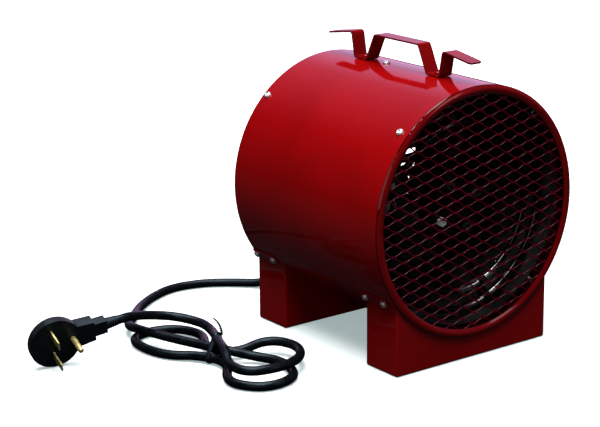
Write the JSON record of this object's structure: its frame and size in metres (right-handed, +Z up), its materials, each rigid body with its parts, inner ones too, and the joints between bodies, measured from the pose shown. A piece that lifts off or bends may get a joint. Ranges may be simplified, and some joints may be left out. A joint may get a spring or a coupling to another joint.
{
  "type": "forced air heater",
  "caption": "Portable electric forced air heater: round sheet-metal drum with mesh mouth, ring elements, fan and motor inside, strap handle with cord hooks, saddle feet and a right-angle plug.",
  "frame": {"origin": "on the floor, under the middle of the drum", "axes": "+Z up, Y along the drum, the mouth with the grille towards -Y"},
  "size_m": [0.6006, 0.4482, 0.3682],
  "materials": {
    "red_paint": "glossy powder coat",
    "screw_steel": "bright zinc",
    "plated_sheet": "plated sheet, darkened by heat",
    "element_sheath": "heat-darkened sheath",
    "ceramic": "unglazed ceramic",
    "fan_aluminium": "stamped",
    "motor_enamel": "satin enamel",
    "black_plastic": "moulded",
    "knob_plastic": "moulded",
    "wire_cover": "braided sleeve",
    "cord_cover": "smooth, glossy",
    "plug_cover": "moulded, satin",
    "pin_brass": "worn brass"
  },
  "bodies": {
    "housing": {"housing_drum": "red_paint", "front_ring": "red_paint", "rear_ring": "red_paint", "front_grille": "red_paint", "handle_strap": "red_paint", "front_foot": "red_paint", "rear_foot": "red_paint", "rear_guard": "red_paint", "drum_screws_front": "screw_steel", "drum_screws_rear": "screw_steel", "bracket_screws": "screw_steel", "handle_screws": "screw_steel", "foot_screws_front": "screw_steel", "foot_screws_rear": "screw_steel", "cross_nuts": "screw_steel", "motor_nuts": "screw_steel", "heat_liner": "plated_sheet", "liner_brackets": "plated_sheet", "element_cross": "plated_sheet", "element_clamps": "plated_sheet", "fan_shroud": "plated_sheet", "motor_bracket": "plated_sheet", "element_outer": "element_sheath", "element_inner": "element_sheath", "element_terminals": "ceramic", "terminal_block": "ceramic", "motor_body": "motor_enamel", "thermostat_body": "black_plastic", "strain_relief": "black_plastic", "limit_cutout": "black_plastic", "wiring": "wire_cover", "cord_lead": "cord_cover", "cord_hank": "cord_cover", "cord_tail": "cord_cover", "cord_tie": "cord_cover", "plug_body": "plug_cover", "plug_blades": "pin_brass", "plug_ground_pin": "pin_brass"},
    "fan": {"fan_blades": "fan_aluminium", "fan_hub": "fan_aluminium", "fan_set_screw": "screw_steel", "motor_shaft": "screw_steel"},
    "knob": {"thermostat_stem": "pin_brass", "thermostat_knob": "knob_plastic"}
  },
  "joints": [
    {"name": "fan_spin", "type": "hinge", "parent": "housing", "child": "fan", "pos_m": [0, 0.018, 0.1804], "axis": [0, 1, 0], "continuous": true},
    {"name": "thermostat_turn", "type": "hinge", "parent": "housing", "child": "knob", "pos_m": [-0.05, 0.1194, 0.0814], "axis": [0, -1, 0], "range_deg": [0, 300]}
  ]
}
